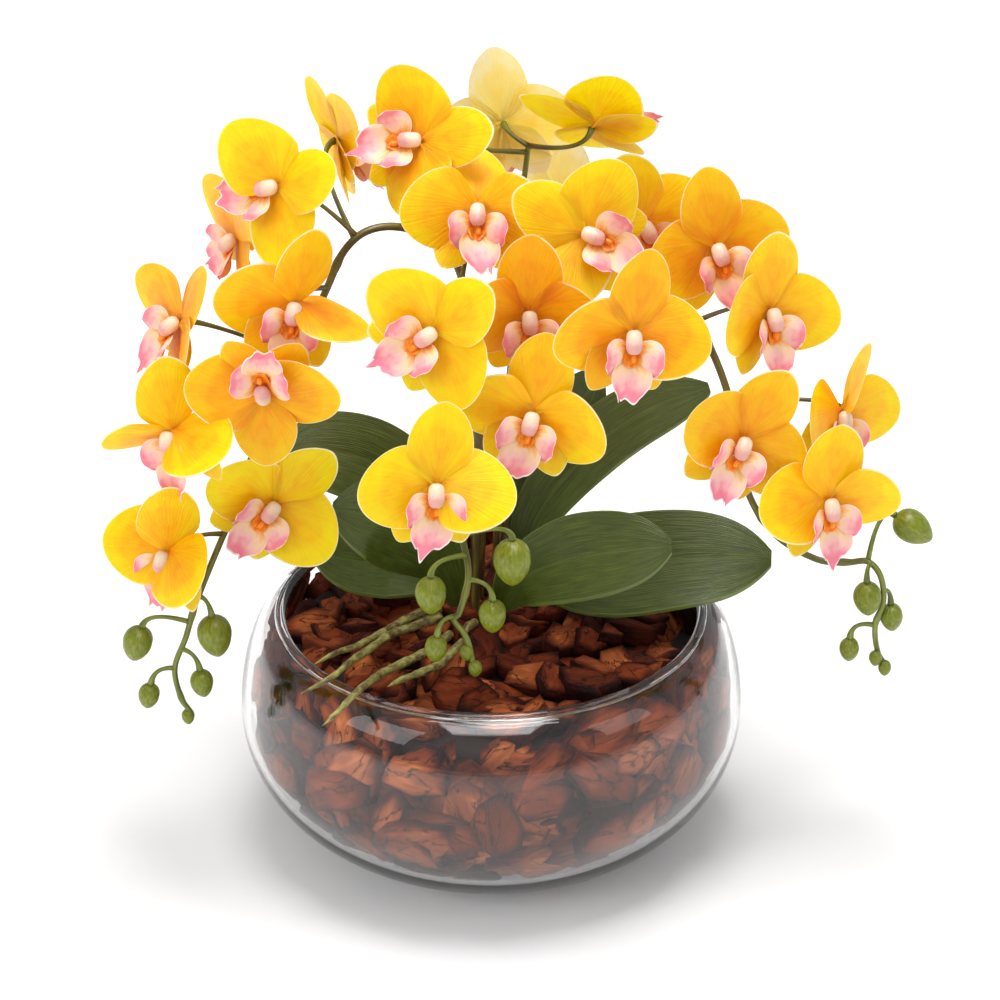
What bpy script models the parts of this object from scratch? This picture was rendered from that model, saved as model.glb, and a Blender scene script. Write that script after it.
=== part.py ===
"""Potted orchid: a branching orchid in yellow flower, planted in a round glass bowl of bark.

Metres, +Z up. The origin is the centre of the bowl's flat base, on the surface it stands on.
The viewer stands at -Y, so +X is the plant's right as it is looked at.
"""

import math

import bmesh
import bpy
from mathutils import Matrix, Vector

MM = 0.001

# Glass bowl
BOWL_DIAMETER = 0.250
BOWL_HEIGHT = 0.118
BOWL_WIDEST_AT = 0.066
BOWL_BASE_DIAMETER = 0.110
MOUTH_DIAMETER = 0.207  # across the middle of the rim bead
GLASS_THICKNESS = 0.003
FLOOR_THICKNESS = 0.005
RIM_BEAD_DIAMETER = 0.0052
BOWL_STEPS = 32

# Bark
BARK_BELOW_RIM = 0.012
CONTACT_GAP = 0.0003

# Flowers
FLOWER_SPAN = 0.074  # petal tip to petal tip
TEPAL_THICKNESS = 0.0012
COLUMN_LENGTH = 0.011
COLUMN_DIAMETER = 0.006
LIP_LENGTH = 0.026
LIP_WIDTH = 0.016

# Stems, buds and roots
STEM_DIAMETER = 0.0044
STEM_TIP_DIAMETER = 0.0026
PEDICEL_DIAMETER = 0.0026
PLANTING_DEPTH = 0.030
PLANTING_CLEARANCE = 0.0005
STALK_DROP = 0.022  # how far behind a flower its stalk leaves the stem
STALK_BEND = 0.014
BUD_STALK_DROP = 0.008
BUD_STALK_BEND = 0.010
TIP_BUD_LENGTH = 0.008
ROOT_DIAMETER = 0.0046

# Leaves
LONGEST_LEAF = 0.150
LEAF_THICKNESS = 0.0016
LEAF_CREASE = 0.005

# The routes and places below are drawn in millimetres from the middle of the bark's surface,
# for flowers, leaves and a bowl of these sizes. They are scaled when a size changes.
DRAWN_SPAN = 0.074
DRAWN_LEAF = 0.150
DRAWN_MOUTH = 0.207
DRAWN_RIM_RISE = 0.012

bowl_radius = BOWL_DIAMETER / 2
base_radius = BOWL_BASE_DIAMETER / 2
mouth_radius = MOUTH_DIAMETER / 2
bead_radius = RIM_BEAD_DIAMETER / 2
bark_top = BOWL_HEIGHT - BARK_BELOW_RIM
arrangement_scale = FLOWER_SPAN / DRAWN_SPAN
leaf_scale = LONGEST_LEAF / DRAWN_LEAF
bark_centre = Vector((0, 0, bark_top))

# Each spike: the route of its stem from the bark upwards, then its flowers and its buds.
# A flower is (place, azimuth, tilt, spin) in degrees: azimuth turns it to the right, tilt turns
# its face up, and spin leans its top sepal to the right. A bud is (middle, lean of its tip as a
# direction, length). A tip bud is too small to be a piece of its own, and grows on the stem.
SPIKES = {
    "left": {
        "route": [(-6, 34, 0), (-5, 33, 40), (-5, 31, 80), (-6, 28, 112), (-9, 26, 148),
                  (-15, 24, 179), (-25, 20, 195), (-42, 14, 204), (-57, 9, 204), (-68, 6, 195),
                  (-76, 4, 178), (-86, 2, 156), (-98, -1, 134), (-108, -5, 112), (-117, -12, 88),
                  (-125, -22, 68), (-133, -32, 51), (-141, -38, 32), (-146, -40, 16), (-152, -42, 0),
                  (-150, -42, -16), (-146, -42, -24)],
        "flowers": [((-95, 0, 229), -42, 15, 65), ((-74, 76, 226), 112, 10, 50),
                    ((-88, -32, 186), 5, 4, 14), ((-142, -10, 167), -60, 15, 35),
                    ((-102, -47, 144), -6, -8, 180), ((-146, -44, 128), -34, -12, -6),
                    ((-101, -24, 81), 10, 2, 46), ((-151, -44, 66), -42, -10, 6),
                    ((-120, 42, 189), -70, 0, 40)],
        "buds": [((-169, -42, 14), (-0.3, 0, -1), 18), ((-132, -40, 17), (0.1, 0, -1), 21),
                 ((-165, -44, -14), (-0.2, 0, -1), 13), ((-139, -44, -7), (0.1, 0, -1), 14)],
        "tip_buds": [(-147, -42, -27)],
    },
    "right": {
        "route": [(6, 40, 0), (7, 41, 38), (9, 43, 76), (13, 45, 113), (22, 46, 148), (37, 44, 166),
                  (58, 40, 175), (78, 34, 170), (95, 26, 157), (106, 18, 139), (114, 10, 119),
                  (119, 4, 96), (125, -2, 72), (138, -10, 55), (157, -17, 46), (171, -22, 47),
                  (180, -27, 50), (186, -31, 44), (188, -32, 31), (185, -32, 18), (187, -32, 4),
                  (192, -32, -5)],
        "flowers": [((63, -60, 184), 12, 4, 8), ((103, 2, 201), 18, 8, -12),
                    ((127, -20, 178), 35, 5, 5), ((117, -41, 123), 15, 2, 32),
                    ((166, -2, 119), 36, -8, 12), ((156, -45, 94), 28, -4, 2),
                    ((70, 24, 204), 25, 0, -20)],
        "buds": [((201, -22, 66), (0.8, -0.2, -0.5), 20), ((180, -34, 34), (0.1, 0, -1), 17),
                 ((193, -29, 21), (0.1, 0, -1), 14), ((173, -34, 6), (0, 0, -1), 12)],
        "tip_buds": [(186, -34, 1), (191, -33, -5)],
    },
    "front": {
        "route": [(-8, 14, 0), (-8, 13, 52), (-8, 11, 86), (-8, 8, 119), (-11, 0, 152),
                  (-16, -12, 172), (-18, -26, 178), (-19, -38, 168), (-19, -42, 150), (-18, -46, 124),
                  (-16, -54, 100), (-13, -66, 84), (-10, -74, 68), (-14, -78, 51), (-17, -78, 47),
                  (-11, -78, 37), (-8, -79, 24)],
        "flowers": [((-6, 3, 219), 5, 25, 5), ((41, -8, 210), 15, 20, -60),
                    ((17, -32, 182), 10, 0, 0), ((-23, -52, 180), -20, 12, 50),
                    ((20, -59, 144), -8, 2, 14), ((-24, -87, 122), 8, 4, 6)],
        "buds": [((-27, -84, 63), (0, 0, -1), 18), ((10, -80, 78), (0, 0, -1), 22),
                 ((-25, -84, 35), (-0.1, 0, -1), 13), ((1, -80, 50), (0, 0, -1), 16)],
        "tip_buds": [(-11, -79, 30), (-7, -80, 22)],
    },
    "back": {
        "route": [(2, 54, 0), (4, 55, 43), (7, 58, 86), (11, 61, 128), (13, 62, 170), (15, 62, 201),
                  (18, 61, 228)],
        "flowers": [((-31, 31, 240), -25, 30, 75), ((6, 77, 234), 190, 5, 10),
                    ((48, 54, 240), 165, 45, 70), ((36, 98, 184), 160, 0, 0)],
        "buds": [],
        "tip_buds": [],
    },
}

# Each leaf: the route of its midrib from the crown to the tip, the way its upper side faces,
# and its greatest width, in the leaf's own millimetres.
LEAVES = {
    "left_back_leaf": ([(-14, 44, 2), (-26, 47, 27), (-42, 50, 52), (-62, 50, 67), (-84, 47, 74),
                        (-104, 42, 74)],
                       (-0.25, -0.75, 0.62), 44),
    "left_middle_leaf": ([(-17, 18, 2), (-24, 11, 26), (-36, 3, 46), (-52, -6, 62), (-76, -14, 72)],
                         (-0.3, -0.8, 0.5), 44),
    "left_low_leaf": ([(-20, 28, 4), (-34, 28, 15), (-50, 25, 22), (-68, 18, 28), (-88, 12, 34)],
                      (-0.15, -0.7, 0.7), 36),
    "right_front_leaf": ([(4, 16, 2), (14, 4, 24), (34, -10, 42), (58, -20, 52), (86, -28, 59)],
                         (0.0, -0.8, 0.6), 42),
    "right_long_leaf": ([(14, 28, 6), (32, 22, 19), (60, 12, 27), (98, 4, 36), (137, -2, 39)],
                        (0.05, -0.72, 0.68), 52),
    "right_upper_leaf": ([(16, 44, 2), (20, 46, 34), (42, 50, 66), (71, 52, 91), (108, 50, 107)],
                         (-0.45, -0.75, 0.45), 34),
    "back_leaf": ([(10, 64, 2), (20, 66, 40), (38, 70, 76), (54, 74, 106)],
                  (-0.35, -0.9, 0.2), 32),
}

# Aerial roots: each runs from the crown over the bark, some of them over the rim.
ROOTS = {
    "root_over_rim_1": [(-26, 10, 4), (-39, 0, 5), (-52, -17, 6), (-64, -36, 9), (-73, -55, 16),
                        (-83, -68, 17)],
    "root_over_rim_2": [(-25, 2, 4), (-38, -8, 4), (-49, -22, 7), (-58, -41, 10), (-65, -60, 15),
                        (-71, -75, 17), (-78, -83, 16), (-88, -86, 12)],
    "root_over_rim_3": [(-20, -16, 4), (-31, -33, 4), (-49, -58, 8), (-55, -75, 13), (-61, -92, 17),
                        (-69, -110, 17), (-76, -118, 14)],
    "root_beside_rim": [(-14, -24, 4), (-24, -44, 4), (-33, -58, 7), (-42, -70, 10), (-48, -80, 12)],
    "short_root": [(-8, -4, 4), (-12, -12, 5), (-13, -22, 3.5)],
}

for old in list(bpy.data.objects):
    bpy.data.objects.remove(old, do_unlink=True)

orchid = bpy.data.collections.new("potted_orchid")
cutters = bpy.data.collections.new("cutters")
for collection in (orchid, cutters):
    bpy.context.scene.collection.children.link(collection)


def material(name, colour, roughness, transmission=0.0):
    made = bpy.data.materials.new(name)
    made.use_nodes = True
    shader = made.node_tree.nodes["Principled BSDF"]
    shader.inputs["Base Color"].default_value = (*colour, 1)
    shader.inputs["Roughness"].default_value = roughness
    shader.inputs["Metallic"].default_value = 0
    shader.inputs["Transmission Weight"].default_value = transmission
    return made


def add_object(name, mesh, finish=None, collection=orchid):
    made = bpy.data.objects.new(name, mesh)
    collection.objects.link(made)
    if finish and not mesh.materials:
        mesh.materials.append(finish)
    return made


def mesh_from(bm, name, smooth=True):
    mesh = bpy.data.meshes.new(name)
    bm.to_mesh(mesh)
    bm.free()
    if smooth:
        mesh.shade_smooth()
    return mesh


def make_cutter(made):
    made.hide_render = True
    made.display_type = "WIRE"


def smooth_route(points, per_span):
    """Points on a smooth curve that passes through every given point."""
    knots = [Vector(p) for p in points]
    knots = [2 * knots[0] - knots[1]] + knots + [2 * knots[-1] - knots[-2]]
    route = []
    for before, start, end, after in zip(knots, knots[1:], knots[2:], knots[3:]):
        for step in range(per_span):
            t = step / per_span
            route.append(0.5 * (2 * start + (end - before) * t
                                + (2 * before - 5 * start + 4 * end - after) * t**2
                                + (3 * start - before - 3 * end + after) * t**3))
    route.append(knots[-2])
    return route


def tube_mesh(name, route, start_radius, end_radius):
    """A closed tube along the route, as a mesh."""
    curve = bpy.data.curves.new(name, "CURVE")
    curve.dimensions = "3D"
    curve.bevel_depth = start_radius
    curve.bevel_resolution = 1
    curve.use_fill_caps = True
    spline = curve.splines.new("POLY")
    spline.points.add(len(route) - 1)
    for number, (point, place) in enumerate(zip(spline.points, route)):
        share = number / (len(route) - 1)
        point.co = (*place, 1)
        point.radius = 1 + share * (end_radius / start_radius - 1)
    guide = bpy.data.objects.new(name, curve)
    bpy.context.scene.collection.objects.link(guide)
    evaluated = guide.evaluated_get(bpy.context.evaluated_depsgraph_get())
    mesh = bpy.data.meshes.new_from_object(evaluated)
    mesh.transform(guide.matrix_world)
    bpy.data.objects.remove(guide, do_unlink=True)
    bm = bmesh.new()
    bm.from_mesh(mesh)
    bmesh.ops.remove_doubles(bm, verts=bm.verts, dist=1e-6)
    bm.to_mesh(mesh)
    bm.free()
    mesh.name = name
    mesh.shade_smooth()
    return mesh


def turned(name, profile, finish):
    """A solid turned round the Z axis from a profile of (radius, height), outer side downwards."""
    bm = bmesh.new()
    ring = [bm.verts.new((radius, 0, height)) for radius, height in profile]
    for first, second in zip(ring, ring[1:]):
        bm.edges.new((first, second))
    made = add_object(name, mesh_from(bm, name, smooth=False), finish)
    screw = made.modifiers.new("turn", "SCREW")
    screw.steps = screw.render_steps = BOWL_STEPS
    screw.use_merge_vertices = True
    screw.merge_threshold = 1e-5
    screw.use_smooth_shade = True
    return made


# ---- the glass bowl and the bark in it ----

# The rim bead meets the wall where the bead is as thick as the glass.
bead_joint = math.asin(GLASS_THICKNESS / RIM_BEAD_DIAMETER)
bead_height = BOWL_HEIGHT - bead_radius


def wall(inset, floor, joint_height, steps):
    """Points (radius, height) up a side of the glass, from the floor to the rim bead."""
    points = []
    for step in range(steps + 1):
        angle = math.radians(90 * step / steps)
        points.append((base_radius + (bowl_radius - inset - base_radius) * math.sin(angle),
                       BOWL_WIDEST_AT - (BOWL_WIDEST_AT - floor) * math.cos(angle)))
    reach = bowl_radius - inset - mouth_radius
    last = math.acos(bead_radius * math.cos(bead_joint) / reach)
    for step in range(1, steps + 1):
        angle = last * step / steps
        points.append((mouth_radius + reach * math.cos(angle),
                       BOWL_WIDEST_AT + (joint_height - BOWL_WIDEST_AT) * math.sin(angle) / math.sin(last)))
    return points


def rim_bead(steps):
    """Points round the bead, from the inner side of the glass over the top to the outer side."""
    first, last = 2 * math.pi - bead_joint, bead_joint
    angles = [first + (last - first) * step / steps for step in range(1, steps)]
    return [(mouth_radius + bead_radius * math.cos(angle), bead_height + bead_radius * math.sin(angle))
            for angle in angles]


outer_wall = wall(0, 0, bead_height + GLASS_THICKNESS / 2, 5)
inner_wall = wall(GLASS_THICKNESS, FLOOR_THICKNESS, bead_height - GLASS_THICKNESS / 2, 5)
glass = material("clear_glass", (0.95, 0.98, 0.97), 0.03, transmission=1.0)
turned("glass_bowl", [(0, FLOOR_THICKNESS)] + inner_wall + rim_bead(8) + outer_wall[::-1] + [(0, 0)], glass)

# The bark fills the bowl up to its surface, a contact gap inside the glass.
fill = wall(GLASS_THICKNESS + CONTACT_GAP, FLOOR_THICKNESS + CONTACT_GAP,
            bead_height - GLASS_THICKNESS / 2 - CONTACT_GAP, 5)
below = [point for point in fill if point[1] < bark_top]
above = fill[len(below)]
share = (bark_top - below[-1][1]) / (above[1] - below[-1][1])
bark_edge = below[-1][0] + share * (above[0] - below[-1][0]) - CONTACT_GAP
bark = material("bark", (0.20, 0.075, 0.035), 0.85)
bark_profile = [(0, bark_top), (bark_edge, bark_top)] + below[::-1] + [(0, FLOOR_THICKNESS + CONTACT_GAP)]
bark_bed = turned("bark_bed", bark_profile, bark)


def planting_hole(name, foot):
    """A well in the bark for the foot of a stem."""
    bm = bmesh.new()
    bmesh.ops.create_cone(bm, cap_ends=True, segments=10, radius1=STEM_DIAMETER / 2 + 2 * PLANTING_CLEARANCE,
                          radius2=STEM_DIAMETER / 2 + 2 * PLANTING_CLEARANCE,
                          depth=2 * (PLANTING_DEPTH + PLANTING_CLEARANCE))
    hole = add_object(name, mesh_from(bm, name), collection=cutters)
    hole.location = foot
    make_cutter(hole)
    cut = bark_bed.modifiers.new(name, "BOOLEAN")
    cut.operation = "DIFFERENCE"
    cut.object = hole


# ---- flowers ----

petals = material("petals", (1.0, 0.56, 0.01), 0.5)


def tepal_reach(clock):
    """Distance from the middle of the flower to its outline, at a clock angle in degrees."""
    tepals = [(0, 0.50, 44), (96, 0.50, 58), (-96, 0.50, 58), (144, 0.46, 36), (-144, 0.46, 36)]
    reach = 0.16
    for middle, length, half_angle in tepals:
        off = abs((clock - middle + 180) % 360 - 180) / half_angle
        if off < 1:
            reach = max(reach, length * (1 - off**4) ** 0.5)
    return reach * FLOWER_SPAN


def flower_mesh():
    """One flower facing -Y, with its top sepal up. Petals reach forward, and lower sepals back."""
    segments = 24
    bm = bmesh.new()
    spoke = [bm.verts.new((0, 0, 0)), bm.verts.new((0, 0, 1))]
    edge = bm.edges.new(spoke)
    bmesh.ops.spin(bm, geom=[*spoke, edge], cent=(0, 0, 0), axis=(0, 1, 0), angle=2 * math.pi, steps=segments,
                   use_merge=True)
    bmesh.ops.remove_doubles(bm, verts=bm.verts, dist=1e-5)
    for vert in bm.verts:
        clock = math.degrees(math.atan2(vert.co.x, vert.co.z))
        out = vert.co.length
        sideways, down = abs(math.sin(math.radians(clock))), -math.cos(math.radians(clock))
        forward = (0.08 * sideways - 0.05 * max(0, down - 0.4)) * out**2
        vert.co *= tepal_reach(clock) if out > 0.01 else 0
        vert.co.y = -forward * FLOWER_SPAN
    bmesh.ops.solidify(bm, geom=bm.faces[:], thickness=TEPAL_THICKNESS)
    bmesh.ops.recalc_face_normals(bm, faces=bm.faces)
    body = bpy.data.objects.new("flower_body", mesh_from(bm, "flower_body"))
    bpy.context.scene.collection.objects.link(body)

    parts = bpy.data.collections.new("flower_parts")
    bpy.context.scene.collection.children.link(parts)
    bm = bmesh.new()
    bmesh.ops.create_cone(bm, cap_ends=True, segments=6, radius1=COLUMN_DIAMETER * 0.36,
                          radius2=COLUMN_DIAMETER / 2, depth=COLUMN_LENGTH)
    add_object("column", mesh_from(bm, "column"), collection=parts).matrix_world = (
        Matrix.Translation((0, -COLUMN_LENGTH * 0.42, -COLUMN_LENGTH * 0.12))
        @ Matrix.Rotation(math.radians(104), 4, "X"))
    bm = bmesh.new()
    bmesh.ops.create_cone(bm, cap_ends=True, segments=6, radius1=LIP_WIDTH * 0.2, radius2=LIP_WIDTH / 2,
                          depth=LIP_LENGTH)
    bmesh.ops.scale(bm, verts=bm.verts, vec=(1, 0.3, 1))
    add_object("lip", mesh_from(bm, "lip"), collection=parts).matrix_world = (
        Matrix.Translation((0, -LIP_LENGTH * 0.28, -LIP_LENGTH * 0.42))
        @ Matrix.Rotation(math.radians(151), 4, "X"))
    join = body.modifiers.new("join", "BOOLEAN")
    join.operation = "UNION"
    join.operand_type = "COLLECTION"
    join.collection = parts
    bpy.context.view_layer.update()
    mesh = bpy.data.meshes.new_from_object(body.evaluated_get(bpy.context.evaluated_depsgraph_get()))
    mesh.name = "flower"
    mesh.shade_smooth()
    for made in [body, *parts.objects]:
        bpy.data.objects.remove(made, do_unlink=True)
    bpy.data.collections.remove(parts)
    mesh.materials.append(petals)
    return mesh


def facing(azimuth, tilt, spin):
    """The turn of a flower from its drawn position."""
    return (Matrix.Rotation(math.radians(azimuth), 4, "Z") @ Matrix.Rotation(math.radians(-tilt), 4, "X")
            @ Matrix.Rotation(math.radians(spin), 4, "Y"))


# ---- buds ----

bud_green = material("bud_green", (0.28, 0.36, 0.03), 0.4)


def bud_mesh(name, length):
    """A bud with a round stalk end at +Z and a blunt point at -Z."""
    bm = bmesh.new()
    bmesh.ops.create_uvsphere(bm, u_segments=8, v_segments=6, radius=length / 2)
    for vert in bm.verts:
        height = vert.co.z / (length / 2)
        width = 0.78 if height > 0 else 0.78 - 0.10 * height**2
        vert.co.x *= width
        vert.co.y *= width
    return mesh_from(bm, name)


def turn_to(direction):
    """The turn that lays a bud's tip, drawn pointing down, along the direction."""
    return Vector((0, 0, -1)).rotation_difference(Vector(direction)).to_matrix().to_4x4()


# ---- spikes ----

stem_green = material("stem_green", (0.12, 0.11, 0.02), 0.55)
flower = flower_mesh()


def nearest(route, place):
    return min(route, key=lambda point: (point - place).length)


def hook(start, neck, outward, reach):
    """A stalk that leaves the stem at start and comes into the neck along its outward line."""
    bend = neck + outward * reach
    return [start * (1 - t) ** 2 + 2 * bend * t * (1 - t) + neck * t**2 for t in (n / 5 for n in range(6))]


def spike(side, design):
    """A stem with its stalks and tip buds as one grown piece, and its flowers and buds as pieces."""
    def place(point):
        return bark_centre + Vector(point) * MM * arrangement_scale

    route = smooth_route([place(point) for point in design["route"]], 2)
    foot = route[0] - Vector((0, 0, PLANTING_DEPTH))
    stem_mesh = tube_mesh(f"{side}_stem", [foot] + route, STEM_DIAMETER / 2, STEM_TIP_DIAMETER / 2)
    stem = add_object(f"{side}_flower_spike", stem_mesh, stem_green)
    planting_hole(f"{side}_planting_hole", route[0])
    stalks = bpy.data.collections.new(f"{side}_stalks")
    cutters.children.link(stalks)

    def add_stalk(name, line):
        mesh = tube_mesh(name, line, PEDICEL_DIAMETER / 2, PEDICEL_DIAMETER / 2)
        make_cutter(add_object(name, mesh, stem_green, stalks))

    for number, (spot, azimuth, tilt, spin) in enumerate(design["flowers"], 1):
        name = f"{side}_flower_{number}"
        turn = facing(azimuth, tilt, spin)
        made = add_object(name, flower)
        made.matrix_world = Matrix.Translation(place(spot)) @ turn
        back = turn.to_3x3() @ Vector((0, 1, 0))
        neck = place(spot) + back * (TEPAL_THICKNESS + CONTACT_GAP)
        start = nearest(route[4:], neck + back * STALK_DROP)
        add_stalk(f"{name}_stalk", hook(start, neck, back, STALK_BEND))
    for number, (spot, lean, length) in enumerate(design["buds"], 1):
        name = f"{side}_bud_{number}"
        size = length * MM * arrangement_scale
        turn = turn_to(lean)
        made = add_object(name, bud_mesh(name, size), bud_green)
        made.matrix_world = Matrix.Translation(place(spot)) @ turn
        up = turn.to_3x3() @ Vector((0, 0, 1))
        neck = place(spot) + up * (size / 2 + CONTACT_GAP)
        start = nearest(route[4:], neck + up * BUD_STALK_DROP)
        add_stalk(f"{name}_stalk", hook(start, neck, up, BUD_STALK_BEND))
    for number, spot in enumerate(design["tip_buds"], 1):
        made = add_object(f"{side}_tip_bud_{number}", bud_mesh("tip_bud", TIP_BUD_LENGTH), stem_green, stalks)
        made.location = place(spot)
        make_cutter(made)
    join = stem.modifiers.new("stalks", "BOOLEAN")
    join.operation = "UNION"
    join.operand_type = "COLLECTION"
    join.collection = stalks


for side, design in SPIKES.items():
    spike(side, design)

# ---- leaves ----

leaf_green = material("leaf_green", (0.03, 0.075, 0.02), 0.45)


def leaf(name, midrib, face, width):
    """A strap leaf: a creased sheet along its midrib, narrow at the crown and round at the tip."""
    rib = smooth_route([bark_centre + Vector(point) * MM * leaf_scale for point in midrib], 2)
    face = Vector(face).normalized()
    half = width * MM * leaf_scale / 2
    bm = bmesh.new()
    bmesh.ops.create_grid(bm, x_segments=len(rib) - 1, y_segments=4, size=1)
    for vert in bm.verts:
        station = round((vert.co.x + 1) / 2 * (len(rib) - 1))
        along = station / (len(rib) - 1)
        across = vert.co.y
        heading = (rib[min(station + 1, len(rib) - 1)] - rib[max(station - 1, 0)]).normalized()
        side = face.cross(heading).normalized()
        normal = heading.cross(side)
        spread = half * (0.16 + 0.84 * math.sin(math.pi * min(along, 0.62) / 1.24)) * (1 - 0.86 * along**9)
        vert.co = rib[station] + side * across * spread + normal * LEAF_CREASE * (abs(across) - 1) * math.sin(
            math.pi * along)
    made = add_object(name, mesh_from(bm, name), leaf_green)
    thick = made.modifiers.new("thickness", "SOLIDIFY")
    thick.thickness = LEAF_THICKNESS
    thick.offset = 0


for name, (midrib, face, width) in LEAVES.items():
    leaf(name, midrib, face, width)

# ---- aerial roots ----

root_green = material("root_green", (0.27, 0.25, 0.06), 0.6)
root_spread = MOUTH_DIAMETER / DRAWN_MOUTH
root_rise = BARK_BELOW_RIM / DRAWN_RIM_RISE

for name, points in ROOTS.items():
    drawn = [bark_centre + Vector((x * root_spread, y * root_spread, z * root_rise)) * MM
             for x, y, z in points]
    route = smooth_route(drawn, 2)
    add_object(name, tube_mesh(name, route, ROOT_DIAMETER / 2, ROOT_DIAMETER * 0.2), root_green)
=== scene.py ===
"""Potted orchid: the looks of a yellow moth orchid planted in bark in a round glass bowl.

Metres, +Z up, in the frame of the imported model. The front of the arrangement faces -Y.
"""

import math
import random

import bmesh
import bpy
from mathutils import Matrix, Vector, noise


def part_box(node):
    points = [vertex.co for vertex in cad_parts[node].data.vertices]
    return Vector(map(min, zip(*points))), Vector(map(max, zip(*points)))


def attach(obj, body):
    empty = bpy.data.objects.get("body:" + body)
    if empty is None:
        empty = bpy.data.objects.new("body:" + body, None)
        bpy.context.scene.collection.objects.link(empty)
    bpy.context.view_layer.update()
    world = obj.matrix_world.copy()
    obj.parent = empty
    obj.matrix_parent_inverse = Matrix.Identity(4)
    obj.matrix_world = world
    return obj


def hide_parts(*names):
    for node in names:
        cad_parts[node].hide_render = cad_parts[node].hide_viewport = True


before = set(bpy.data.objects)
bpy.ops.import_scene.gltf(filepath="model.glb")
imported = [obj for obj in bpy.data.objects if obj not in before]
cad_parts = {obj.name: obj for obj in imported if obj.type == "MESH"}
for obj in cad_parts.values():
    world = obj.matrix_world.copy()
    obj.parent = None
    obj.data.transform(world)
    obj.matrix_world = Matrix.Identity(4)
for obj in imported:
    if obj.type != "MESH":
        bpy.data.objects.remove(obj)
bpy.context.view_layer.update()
MM = 0.001

# ---- studio ----
# A white table top that reaches past every view, a soft box overhead with a sheen in front of it,
# and a softer box at each side. None of this is part of the object.

camera = bpy.data.objects.new("camera", bpy.data.cameras.new("camera"))
bpy.context.collection.objects.link(camera)
camera.location = (0.0044, -1.083, 0.713)
camera.rotation_euler = (math.radians(63.6), 0, 0)
camera.data.lens = 90
camera.data.sensor_width = 36
camera.data.clip_start = 0.01
bpy.context.scene.camera = camera
bpy.context.scene.view_settings.view_transform = "Standard"

world = bpy.data.worlds.new("studio")
world.use_nodes = True
world.node_tree.nodes["Background"].inputs["Color"].default_value = (1, 1, 1, 1)
world.node_tree.nodes["Background"].inputs["Strength"].default_value = 0.52
bpy.context.scene.world = world


def soft_box(name, place, aim, size, power, lights, shines):
    """A soft rectangular lamp. It lights matt surfaces, shines back from glossy ones, or does both."""
    lamp = bpy.data.lights.new(name, "AREA")
    lamp.shape = "RECTANGLE"
    lamp.size, lamp.size_y = size
    lamp.energy = power
    made = bpy.data.objects.new(name, lamp)
    bpy.context.collection.objects.link(made)
    made.location = place
    made.rotation_euler = (Vector(aim) - Vector(place)).to_track_quat("-Z", "Y").to_euler()
    made.visible_diffuse = lights
    made.visible_glossy = shines


soft_box("overhead_box", (0.05, 0.02, 1.5), (0.02, 0, 0.1), (0.7, 0.5), 13, True, True)
soft_box("front_sheen", (0.0, -0.62, 1.5), (0, 0, 0.1), (0.8, 0.9), 11, False, True)
soft_box("left_box", (-1.2, -0.9, 1.0), (0, 0, 0.2), (0.9, 0.9), 9, True, False)
soft_box("right_box", (1.3, -0.6, 0.9), (0, 0, 0.2), (0.7, 0.7), 3, True, False)


def shade(code):
    """A colour from its six-figure web code, as the linear values that a shader takes."""
    parts = [int(code[n:n + 2], 16) / 255 for n in (0, 2, 4)]
    return [p / 12.92 if p <= 0.04045 else ((p + 0.055) / 1.055) ** 2.4 for p in parts] + [1]


def new_finish(name, roughness):
    """A material, its node tree and its main shader."""
    finish = bpy.data.materials.new(name)
    finish.use_nodes = True
    tree = finish.node_tree
    shader = tree.nodes["Principled BSDF"]
    shader.inputs["Roughness"].default_value = roughness
    return finish, tree, shader


# The table glows a little away from the bowl, so it stays white where the lamps fall off.
TABLE_REACH = 40
GLOW_STARTS = 0.12
GLOW_IS_FULL = 0.75
FULL_GLOW = 0.5
table_white, tree, shader = new_finish("table_white", 0.9)
shader.inputs["Base Color"].default_value = shade("FAFAFA")
shader.inputs["Emission Color"].default_value = (1, 1, 1, 1)
place_on_table = tree.nodes.new("ShaderNodeTexCoord")
from_middle = tree.nodes.new("ShaderNodeVectorMath")
from_middle.operation = "LENGTH"
far_glow = tree.nodes.new("ShaderNodeMapRange")
far_glow.inputs["From Min"].default_value = GLOW_STARTS
far_glow.inputs["From Max"].default_value = GLOW_IS_FULL
far_glow.inputs["To Min"].default_value = 0
far_glow.inputs["To Max"].default_value = FULL_GLOW
tree.links.new(place_on_table.outputs["Object"], from_middle.inputs[0])
tree.links.new(from_middle.outputs["Value"], far_glow.inputs["Value"])
tree.links.new(far_glow.outputs["Result"], shader.inputs["Emission Strength"])
table = bmesh.new()
bmesh.ops.create_grid(table, x_segments=1, y_segments=1, size=TABLE_REACH)
table_mesh = bpy.data.meshes.new("table_top")
table.to_mesh(table_mesh)
table_mesh.materials.append(table_white)
table_top = bpy.data.objects.new("table_top", table_mesh)
bpy.context.collection.objects.link(table_top)

# ---- glass bowl ----
# A low round bowl of clear blown glass. Its walls draw in to a wide mouth, whose rim was melted
# to a bead, and it stands on a thicker, nearly flat floor.

bowl_low, bowl_high = [Vector(corner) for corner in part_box("glass_bowl")]
bowl_radius = (bowl_high.x - bowl_low.x) / 2
bowl_height = bowl_high.z
FOOT_RADIUS = 0.055
BELLY_HEIGHT = 0.066
MOUTH_RADIUS = 0.1035
GLASS_THICKNESS = 0.003
FLOOR_THICKNESS = 0.005
BEAD_RADIUS = 0.0026
BOWL_SIDES = 144
WALL_STEPS = 24
BEAD_STEPS = 10


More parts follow.
